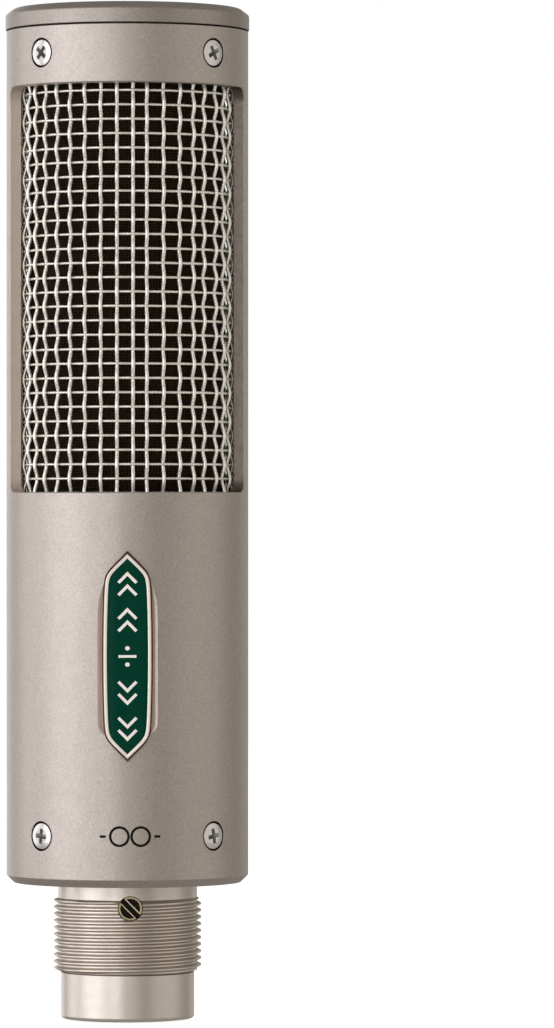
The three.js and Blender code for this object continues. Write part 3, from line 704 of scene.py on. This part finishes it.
def add_stem():
    segments = 180
    low, high, pitch, per_turn = (THREAD[key] for key in ("low", "high", "pitch", "rows"))
    relief_z, relief_r = RELIEF
    root, plug_low = THREAD["root"], TUBE_LOW + 0.15
    below = rounded(
        [
            (STEM_BORE, 0), (BARREL_R, 0), (BARREL_R, relief_z), (relief_r, relief_z + 0.1),
            (relief_r, low - 0.1), (root, low),
        ],
        [0, 0.65, 0.12, 0.05, 0.05, 0], 5,
    )
    above = rounded(
        [
            (root, high), (root, plug_low), (PLUG_R, plug_low), (PLUG_R, PLUG_HIGH),
            (STEM_BORE, PLUG_HIGH), (STEM_BORE, 0),
        ],
        [0, 0.2, 0.15, 0.2, 0.1, 0], 3,
    )
    steps = int(per_turn * ((high - low) / pitch + 2)) + 1
    verts = []
    for i in range(segments + 1):
        angle = 2 * math.pi * i / segments
        column = list(below)
        for k in range(steps):
            z = low - pitch + pitch * k / per_turn + pitch * i / segments
            z = min(max(z, low), high)
            column.append((thread_radius(z, angle), z))
        column += above
        verts += [polar(r, angle, z) for r, z in column]
    faces = strips(segments + 1, len(column))
    # Painted shade: the thread's lower flanks that hang downwards, the relief below the thread and a band
    # at its top under the collar.
    indices = []
    for face in faces:
        radii = [math.hypot(verts[i][0], verts[i][1]) for i in face]
        height = sum(verts[i][2] for i in face) / len(face)
        outside = relief_z < height < high and min(radii) > relief_r - 0.1
        hanging = radii[3] > radii[0] + 0.05
        ends = height < low or height > high - TOP_BAND
        indices.append(1 if outside and (hanging or ends) else 0)
    stem = make(
        "stem_turning", verts, faces, "satin_nickel", "casing", ["base_stem"],
        [STEM_NICKEL, THREAD_SHADE], indices, sharp=50,
    )
    hole, tapped = rod(*LOCK_HOLE, 48), rod(*STEM_TAPPED, 24)
    cutters = [moved(tapped, angle, BASE_SCREW_Z) for angle in CASING_ANGLES]
    cut(stem, moved(hole, LOCK["angle"], LOCK["z"]), *cutters, sharp=50)


# ---- screws ------------------------------
SCREW_SPINS = {"cap_screw": (28, 70, 12, 50), "base_screw": (10, 33, 64, 84)}
HEAD_R = 2.02
SHANK_R = 1.2


def casing_screw():
    """A countersunk screw along Z, its slightly domed face level with the tube."""
    top = BODY_R
    profile = rounded(
        [
            (0, top), (SHANK_R, top - 0.03), (HEAD_R, top - 0.16), (HEAD_R, top - 0.42),
            (SHANK_R, top - 1.3), (SHANK_R, top - 5.2), (0.9, top - 5.5), (0, top - 5.5),
        ],
        [0, 0.5, 0.08, 0.05, 0.1, 0.1, 0, 0], 4,
    )
    return turned(profile, 64)


def cross_recess():
    """The cutters of a cross recess: two tapered bars, narrow at the bottom."""
    top = BODY_R
    bars = []
    for turn in (0, 90):
        verts, faces = block((-1.0, -0.2, top - 1.1), (1.0, 0.2, top + 0.5))
        verts = [(x * (1.5 if z > top else 0.55), y * (2.1 if z > top else 0.8), z) for x, y, z in verts]
        if turn:
            verts = [(-y, x, z) for x, y, z in verts]
        bars.append((verts, faces))
    return bars


def add_casing_screws():
    for kind, z in (("cap_screw", CAP_SCREW_Z), ("base_screw", BASE_SCREW_Z)):
        for i, (angle, spin) in enumerate(zip(CASING_ANGLES, SCREW_SPINS[kind]), start=1):
            shape = moved(casing_screw(), angle, z, spin)
            finishes = [MATERIALS["screw_steel"], RECESS_PAINTED_SHADE]
            screw = make(f"{kind}_{i}_fine", *shape, "screw_steel", "casing", [f"{kind}_{i}"], finishes)
            # The cross recess's faces take the painted shade.
            cut(screw, *[moved(bar, angle, z, spin) for bar in cross_recess()], index=1)


# ---- windscreen --------------------------
UPRIGHTS = 40
FIRST_UPRIGHT = 2.6
UPRIGHT_DRIFT = {-6: 0.3, -5: 0.7, -4: 0.6, -3: 0.65, -2: 0.8, -1: 0.7, 0: 0.4, 1: -1.1, 2: -0.7, 5: -1.2}
HOOP_PITCH = 2.228
FIRST_HOOP = 80.24
HOOPS = 31
WEAVE_R = 16.38
UPRIGHT_WIRE, HOOP_WIRE = 0.60, 0.40
UPRIGHT_CRIMP, HOOP_CRIMP = 0.25, 0.22
CLOTH_THICKNESS = 0.3


def swept(path, reference, radius, closed, sides=8):
    """A round wire along points, each with a reference direction across the wire."""
    path, reference = np.array(path), np.array(reference)
    if closed:
        tangent = np.roll(path, -1, 0) - np.roll(path, 1, 0)
    else:
        tangent = np.gradient(path, axis=0)
    tangent /= np.linalg.norm(tangent, axis=1)[:, None]
    across = reference - tangent * np.sum(reference * tangent, axis=1)[:, None]
    across /= np.linalg.norm(across, axis=1)[:, None]
    up = np.cross(tangent, across)
    turns = np.arange(sides) * 2 * math.pi / sides
    ring = np.cos(turns)[None, :, None] * across[:, None] + np.sin(turns)[None, :, None] * up[:, None]
    verts = (path[:, None] + radius * ring).reshape(-1, 3).tolist()
    faces = []
    last = len(path) if closed else len(path) - 1
    for i in range(last):
        a, b = i * sides, (i + 1) % len(path) * sides
        faces += [(a + k, a + (k + 1) % sides, b + (k + 1) % sides, b + k) for k in range(sides)]
    if not closed:
        faces.append(tuple(range(sides)))
        faces.append(tuple(range(len(verts) - sides, len(verts))))
    return verts, faces


def add_weave():
    """Plain weave: each upright passes outside one hoop and inside the next."""
    uprights, hoops = [], []
    heights = np.arange(SCREEN_LOW, SCREEN_HIGH + 0.01, HOOP_PITCH / 6)
    for i in range(-UPRIGHTS // 2, UPRIGHTS // 2):
        angle = math.radians(FIRST_UPRIGHT + 360 * i / UPRIGHTS + UPRIGHT_DRIFT.get(i, 0))
        phase = math.pi * ((heights - FIRST_HOOP) / HOOP_PITCH + i)
        radii = WEAVE_R + UPRIGHT_CRIMP * np.cos(phase)
        path = [polar(r, angle, z) for r, z in zip(radii, heights)]
        side = (math.cos(angle), math.sin(angle), 0)
        uprights.append(swept(path, [side] * len(path), UPRIGHT_WIRE / 2, False))
    turns = np.arange(UPRIGHTS * 8) * 2 * math.pi / (UPRIGHTS * 8)
    for k in range(HOOPS):
        z = FIRST_HOOP + k * HOOP_PITCH
        phase = turns * UPRIGHTS / 2 + math.pi * k
        radii = WEAVE_R - HOOP_CRIMP * np.cos(phase)
        angles = turns + math.radians(FIRST_UPRIGHT)
        path = [polar(r, angle, z) for r, angle in zip(radii, angles)]
        hoops.append(swept(path, [(0, 0, 1)] * len(path), HOOP_WIRE / 2, True))
    for name, wires in (("screen_uprights", uprights), ("screen_hoops", hoops)):
        make(name, *joined(*wires), "screen_wire", "casing", ["outer_screen"], sharp=80, weighted=False)


def add_cloth():
    for name in ("middle_screen", "inner_screen"):
        (_, _, low), (outer, _, high) = box_mm(name)
        inner = outer - CLOTH_THICKNESS
        profile = rounded([(inner, low), (outer, low), (outer, high), (inner, high)], 0.08, 2, closed=True)
        make(f"{name}_cloth", *turned(profile, 120, closed=True), "dark_mesh", "casing", [name])


# ---- badge -------------------------------
def soft_least(values, hardness):
    """The least of some positive numbers, with the change from one to the next rounded off."""
    return sum(max(value, 1e-6) ** -hardness for value in values) ** (-1 / hardness)


def badge_half(z):
    """Half the badge's width: nearly straight facets to the points, and slightly bowed sides."""
    to_point = min(z - BADGE_LOW, BADGE_HIGH - z)
    half_length = (BADGE_HIGH - BADGE_LOW) / 2
    bow = BADGE_HALF - 0.45 * (1 - to_point / half_length) ** 2
    return soft_least([0.97 * to_point, bow], 7)


BACK_TIPS = (43.6, 70.4)  # where the back plate comes to a point, under the badge


def back_half(z):
    """Half the back plate's width, with cut corners, pointed where the badge covers it."""
    upper = 3.4 + 0.40 * (69.2 - z)
    lower = 3.6 + 1.05 * (z - 45)
    covered = [2.5 * (BACK_TIPS[1] - z), 2.5 * (z - BACK_TIPS[0])]
    return soft_least([BACK_HALF, upper, lower, *covered], 14)


def symmetric_loop(half, low, high, count=56):
    """A closed outline, up the right side and down the left, from a half width at each height."""
    middle, reach = (low + high) / 2, (high - low) / 2
    heights = [middle - reach * math.cos(math.pi * i / count) for i in range(count + 1)]
    right = [(half(z), z) for z in heights[1:-1]]
    left = [(-x, z) for x, z in reversed(right)]
    return [(0, low), *right, (0, high), *left]


def offset_loop(loop, distance):
    """An anticlockwise outline moved outwards, with mitred corners."""
    out = []
    for i, point in enumerate(loop):
        before, after = Vector(loop[i - 1]), Vector(loop[(i + 1) % len(loop)])
        here = Vector(point)
        one, two = (here - before).normalized(), (after - here).normalized()
        normals = [Vector((d.y, -d.x)) for d in (one, two)]
        mean = (normals[0] + normals[1]).normalized()
        out.append(tuple(here + mean * distance / max(0.3, mean.dot(normals[0]))))
    return out


def inset_plate(loop, distance):
    """A symmetric pointed outline moved in or out, its points kept from crossing over at the tips."""
    out = offset_loop(loop, distance)
    half = len(out) // 2
    low, high = out[0], out[half]
    for i, (x, z) in enumerate(out):
        if i in (0, half):
            continue
        side = 1 if i < half else -1
        if x * side <= 0 or not low[1] < z < high[1]:
            out[i] = low if z < (low[1] + high[1]) / 2 else high
    return out


def filled(loop, height, columns=12):
    """A symmetric outline filled with a grid, so that it follows the tube's curve."""
    half = len(loop) // 2
    verts, faces, rows = [], [], []
    for i in range(half + 1):
        right, left = loop[i], loop[-i % len(loop)]
        row = []
        for k in range(columns + 1):
            t = k / columns
            x = left[0] + (right[0] - left[0]) * t
            row.append(len(verts))
            verts.append(wrapped(x, left[1] + (right[1] - left[1]) * t, BODY_R + height))
        rows.append(row)
    for lower, upper in zip(rows, rows[1:]):
        faces += [(lower[k], lower[k + 1], upper[k + 1], upper[k]) for k in range(columns)]
    return verts, faces


def plate(loop, profile):
    """A closed plate on the tube: (offset, height) rings from its back face round to its middle."""
    verts = []
    for offset, height in profile:
        verts += [wrapped(x, z, BODY_R + height) for x, z in inset_plate(loop, offset)]
    first, last = profile[0], profile[-1]
    back = filled(inset_plate(loop, first[0]), first[1])
    front = filled(inset_plate(loop, last[0]), last[1])
    return joined((verts, bands(len(profile), len(loop))), back, front)


RIM_TOP = 1.55
RIM_WIDTH = 0.88
RIM_OUTER = -0.38
LIP_OUTER = -0.06
ENAMEL_TOP = 1.42
MARK_STEP = 5.55
MARK_HALF = 1.30
MARK_LINE = 0.46
MARK_RAISE = 0.06
CHEVRON_RISE = 0.70
CHEVRON_SHIFT = 0.95
DOT_R, DOT_SHIFT = 0.34, 1.25


def add_plate(name, node, loop, rings, finishes, slot="bright_nickel"):
    """A plate from (offset, height, finish index) rings; its filled middle has the last index."""
    verts, faces = plate(loop, [ring[:2] for ring in rings])
    indices = [index for _, _, index in rings[1:] for _ in loop]
    indices += [rings[-1][2]] * (len(faces) - len(indices))
    make(name, verts, faces, slot, "casing", [node], finishes, indices)


def add_badge():
    back = symmetric_loop(back_half, *BACK_TIPS)
    # From the outer edge in: a light band that falls inwards, then one painted darker as shade that runs
    # under the badge.
    rings = [
        (0, 0.02, 0), (0, 0.50, 0), (-0.03, 0.58, 0), (-0.09, 0.61, 0), (-0.42, 0.48, 0), (-0.45, 0.46, 1),
        (-0.80, 0.42, 1), (-1.2, 0.42, 1),
    ]
    add_plate("badge_back_plate", "badge_backplate", back, rings, [BACK_PLATE, GROOVE_PAINTED_SHADE])

    loop = symmetric_loop(badge_half, BADGE_LOW, BADGE_HIGH)
    # A lip that stands on the tube, painted dark as shade, then the bright rim down to the enamel, whose
    # inner wall is painted shade too.
    outer = RIM_OUTER
    rings = [
        (LIP_OUTER, 0.05, 1), (LIP_OUTER, 0.78, 1), (LIP_OUTER - 0.05, 0.86, 1), (outer + 0.02, 0.95, 1),
        (outer, RIM_TOP - 0.18, 0), (outer - 0.04, RIM_TOP - 0.08, 0), (outer - 0.12, RIM_TOP, 0),
        (-RIM_WIDTH + 0.10, RIM_TOP, 0), (-RIM_WIDTH, RIM_TOP - 0.07, 0), (-RIM_WIDTH, 0.98, 1),
    ]
    add_plate("badge_front_plate", "badge_plate", loop, rings, [RIM, LIP_PAINTED_SHADE])

    inner = -RIM_WIDTH - 0.01
    rings = [(inner, 1.0, 0), (inner, ENAMEL_TOP - 0.05, 0), (inner - 0.11, ENAMEL_TOP, 0)]
    add_plate("badge_enamel_fill", "badge_enamel", loop, rings, [MATERIALS["enamel"]], "enamel")
    add_marks()


def stroke(points, width):
    """An outline around a polyline, one width across, with square ends."""
    right, left = [], []
    for i, point in enumerate(points):
        here = Vector(point)
        one = (here - Vector(points[i - 1])).normalized() if i else None
        two = (Vector(points[i + 1]) - here).normalized() if i < len(points) - 1 else None
        normals = [Vector((d.y, -d.x)) for d in (one, two) if d is not None]
        mean = sum(normals, Vector((0, 0))).normalized()
        reach = width / 2 / mean.dot(normals[0])
        right.append(tuple(here + mean * reach))
        left.append(tuple(here - mean * reach))
    return right + left[::-1]


def add_marks():
    """Raised marks on the enamel: pairs of chevrons that point away from a bar and two dots."""
    middle = (BADGE_LOW + BADGE_HIGH) / 2
    top = ENAMEL_TOP + MARK_RAISE
    shapes = []

    def raised(outline):
        verts = []
        for offset, height in ((0, ENAMEL_TOP - 0.1), (0, top - 0.05), (-0.05, top)):
            verts += [wrapped(x, z, BODY_R + height) for x, z in offset_loop(outline, offset)]
        count = len(outline)
        ends = [tuple(range(count))[::-1], tuple(range(2 * count, 3 * count))]
        shapes.append((verts, bands(3, count) + ends))

    for step in (-2, -1, 1, 2):
        rise = CHEVRON_RISE if step > 0 else -CHEVRON_RISE
        for shift in (-CHEVRON_SHIFT, CHEVRON_SHIFT):
            z = middle + step * MARK_STEP + shift
            raised(stroke([(-MARK_HALF, z - rise), (0, z + rise), (MARK_HALF, z - rise)], MARK_LINE))
    raised(stroke([(-MARK_HALF, middle), (MARK_HALF, middle)], MARK_LINE))
    for side in (-1, 1):
        raised(Round(0, middle + side * DOT_SHIFT, DOT_R, 24).loop(0))
    make("badge_marks", *joined(*shapes), "bright_nickel", "casing", finishes=[MARK])


# ---- connector ---------------------------
GROOVE_R = (5.9, 6.1, 6.9, 7.05)  # a ring sunk in the insert's face
GROOVE_DEPTH = 0.5
PIN_HOLE = (1.34, 10, 30)
PIN_CUP = (0.8, 1.2)  # share of the radius and length of each pin's thinner tail
KEYWAY = (1.0, 6.2, 8.5, 3)  # half width, inner and outer radius, and depth
POCKET = (1.75, 5.7, 9)


def add_connector():
    face = INSERT_LOW
    profile = rounded(
        [
            (0, face), (GROOVE_R[0], face), (GROOVE_R[1], face + GROOVE_DEPTH),
            (GROOVE_R[2], face + GROOVE_DEPTH), (GROOVE_R[3], face), (INSERT_R, face),
            (INSERT_R, INSERT_HIGH), (0, INSERT_HIGH),
        ],
        [0, 0.1, 0.1, 0.1, 0.1, 0.25, 0.25, 0], 3,
    )
    insert = make("connector_insert", *turned(profile, 96), "connector_plastic", "casing", ["xlr_insert"])
    cutters = []
    for i in range(1, 4):
        low, high = box_mm(f"xlr_pin_{i}")
        x, y = (low[0] + high[0]) / 2, (low[1] + high[1]) / 2
        cutters.append(shifted(rod(*PIN_HOLE, 32), x, y))
        bottom, top, radius = low[2], high[2], (high[0] - low[0]) / 2
        tail, shoulder = radius * PIN_CUP[0], top - PIN_CUP[1]
        profile = rounded(
            [(0, bottom), (radius, bottom), (radius, shoulder), (tail, shoulder), (tail, top), (0, top)],
            [0, 0.95, 0.05, 0.05, 0.2, 0], 6,
        )
        pin = shifted(turned(profile, 40), x, y)
        make(f"contact_pin_{i}", *pin, "contact", "casing", [f"xlr_pin_{i}"])
    half, inner, outer, depth = KEYWAY
    cutters.append(block((-half, -outer, face - 1), (half, -inner, face + depth)))
    cutters.append(moved(rod(*POCKET, 32), LOCK["angle"], LOCK["z"]))
    cut(insert, *cutters)


def add_lock_screw():
    """A slotted screw with a brass bevel, lightened as a painted highlight, round its face and along its
    slot; its faces turned to the front are painted near black as a painted dark reflection.
    """
    radius, outer, inner, bevel = (LOCK[key] for key in ("r", "face", "inner", "bevel"))
    profile = rounded(
        [(0, outer), (radius - bevel, outer), (radius, outer - bevel), (radius, inner), (0, inner)],
        [0, 0.04, 0.08, 0.25, 0], 3,
    )
    shape = moved(turned(profile, 64), LOCK["angle"], LOCK["z"])
    finishes = [BRASS_PAINTED_HIGHLIGHT, BRASS_PAINTED_DARK_REFLECTION]
    screw = make("lock_screw_slotted", *shape, "brass", "lock_screw", ["lock_screw"], finishes)
    half, depth, edge = LOCK_SLOT
    across = [(-half - edge, 0.5), (-half - edge, 0), (-half, -edge), (-half, -depth)]
    outline = across + [(-y, z) for y, z in reversed(across)]
    count = len(outline)
    verts = [(x, y, outer + z) for x in (-SLOT_REACH, SLOT_REACH) for y, z in outline]
    ends = [tuple(range(count))[::-1], tuple(range(count, 2 * count))]
    cut(screw, moved((verts, bands(2, count) + ends), LOCK["angle"], LOCK["z"], LOCK_SPIN))
    # Faces turned to the front take the painted dark reflection.
    forward = Vector((*around(0, 1, LOCK["angle"]), 0))
    for face in screw.data.polygons:
        if face.normal.dot(forward) > 0.9:
            face.material_index = 1


# ---- rubber rings and leads --
ISOLATOR_BORE = 4.5
ISOLATOR_LIP = 1.1
ISOLATOR_WAIST = 0.5
ISOLATOR_EDGE = 0.3
WAIST_ROUND = 0.9


def stretched(name, shape, slot, held, free):
    """A soft piece in place of a CAD node, without a body. held and free, the heights at which the casing
    and the motor would hold it, are not used.
    """
    piece = make(f"{name}_soft", *shape, slot, None, [name], weighted=False)
    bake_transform(piece)


def add_soft_parts():
    """Two rubber rings with a waist, and the ribbon's leads."""
    for name in ("lower_isolator", "upper_isolator"):
        (_, _, low), (radius, _, high) = box_mm(name)
        middle = (low + high) / 2
        corners = [
            (ISOLATOR_BORE, low), (radius, low), (radius, low + ISOLATOR_LIP),
            (radius - ISOLATOR_WAIST, middle), (radius, high - ISOLATOR_LIP), (radius, high),
            (ISOLATOR_BORE, high), (ISOLATOR_BORE, middle),
        ]
        radii = [ISOLATOR_EDGE] * 3 + [WAIST_ROUND] + [ISOLATOR_EDGE] * 3 + [0]
        profile = rounded(corners, radii, 4, closed=True)
        ends = (low, high) if name == "lower_isolator" else (high, low)
        stretched(name, turned(profile, 72, closed=True), "rubber", *ends)
    held, free = box_mm("deck_plate")[1][2], box_mm("motor_base_block")[1][2]
    for name in ("lower_lead", "upper_lead"):
        mesh = frame["nodes"][name].data
        verts = [[value / MM for value in vert.co] for vert in mesh.vertices]
        stretched(name, (verts, [tuple(face.vertices) for face in mesh.polygons]), "wire", held, free)


# ---- what stays from the frame -----------
def dress_frame():
    """Gives each node that is still shown the finish of its slot."""
    slots = {row["node"]: row["material_slot"] for row in frame["record"]["subparts"]}
    for name, node in frame["nodes"].items():
        if node.hide_render:
            continue
        for slot in node.material_slots:
            slot.link = "OBJECT"
            slot.material = MATERIALS[slots[name]]


# ---- studio ------------------------------
CAMERA_TURN = 1.34  # degrees, which leaves the object left of the picture's middle
CAMERA_BACK = 1.006
CAMERA_HEIGHT = 0.0792
SEEN_HEIGHT = 0.16176  # metres across the frame's long side at the object's axis


def add_camera():
    data = bpy.data.cameras.new("camera")
    camera = placed("camera", data)
    camera.location = (0, -CAMERA_BACK, CAMERA_HEIGHT)
    camera.rotation_euler = (math.pi / 2, 0, -math.radians(CAMERA_TURN))
    data.sensor_width = 36
    data.lens = data.sensor_width * CAMERA_BACK / SEEN_HEIGHT
    data.clip_start = 0.05
    bpy.context.scene.camera = camera


LIGHT_REACH = 1.1
LIGHT_TALL = 0.9
LIGHT_Z = 0.19
COOL, WARM = (1.0, 0.975, 1.03), (1.06, 0.99, 0.93)
# Each light's azimuth from the camera in degrees, width in metres, power in watts and colour.
LIGHTS = {
    "key": (-60, 1.0, 4.1, COOL),
    "key_side": (-108, 0.6, 1.7, COOL),
    "key_front": (-20, 0.35, 1.5, COOL),
    "rim_left": (-155, 0.5, 1.45, COOL),
    "fill_front": (6, 0.4, 0.5, WARM),
    "fill": (71, 1.25, 1.06, WARM),
    "rim_right": (150, 0.5, 0.35, WARM),
}


def add_light(name, azimuth, width, power, colour):
    data = bpy.data.lights.new(name, "AREA")
    data.shape = "RECTANGLE"
    data.size, data.size_y = width, LIGHT_TALL
    data.energy = power
    data.color = colour
    light = placed(name, data)
    light.location = polar(LIGHT_REACH, math.radians(azimuth), LIGHT_Z)
    towards = Vector((0, 0, CAMERA_HEIGHT)) - light.location
    light.rotation_euler = towards.to_track_quat("-Z", "Y").to_euler()
    light.visible_camera = False


FLOOR_HALF = 4  # metres
FLOOR_BELOW = 0.0002
FLOOR_GLOW = 0.75
FLOOR_WHITE = (0.93, 0.93, 0.93, 1)
WORLD_STRENGTH = 0.287  # what lights the object; the camera sees plain white


def add_studio():
    mesh = bpy.data.meshes.new("floor")
    half = FLOOR_HALF
    corners = [(-half, -half, 0), (half, -half, 0), (half, half, 0), (-half, half, 0)]
    mesh.from_pydata(corners, [], [(0, 1, 2, 3)])
    floor = placed("floor", mesh)
    floor.location.z = -FLOOR_BELOW
    material, _, shader = principled("floor")
    shader.inputs["Base Color"].default_value = FLOOR_WHITE
    shader.inputs["Roughness"].default_value = 0.9
    shader.inputs["Emission Color"].default_value = (1, 1, 1, 1)
    shader.inputs["Emission Strength"].default_value = FLOOR_GLOW
    mesh.materials.append(material)
    floor.visible_glossy = False

    world = bpy.data.worlds.new("studio")
    bpy.context.scene.world = world
    world.use_nodes = True
    tree = world.node_tree
    background = next(node for node in tree.nodes if node.type == "BACKGROUND")
    seen = tree.nodes.new("ShaderNodeLightPath").outputs["Is Camera Ray"]
    tree.links.new(ranged(tree, seen, WORLD_STRENGTH, 1, 0, 1), background.inputs["Strength"])
    tree.links.new(mixed(tree, seen, WARM, (1, 1, 1)), background.inputs["Color"])

    for name, values in LIGHTS.items():
        add_light(name, *values)
    bpy.context.scene.view_settings.view_transform = "Standard"


add_camera()
add_studio()
add_tube()
add_cap()
add_stem()
add_casing_screws()
add_weave()
add_cloth()
add_badge()
add_connector()
add_lock_screw()
add_soft_parts()
dress_frame()
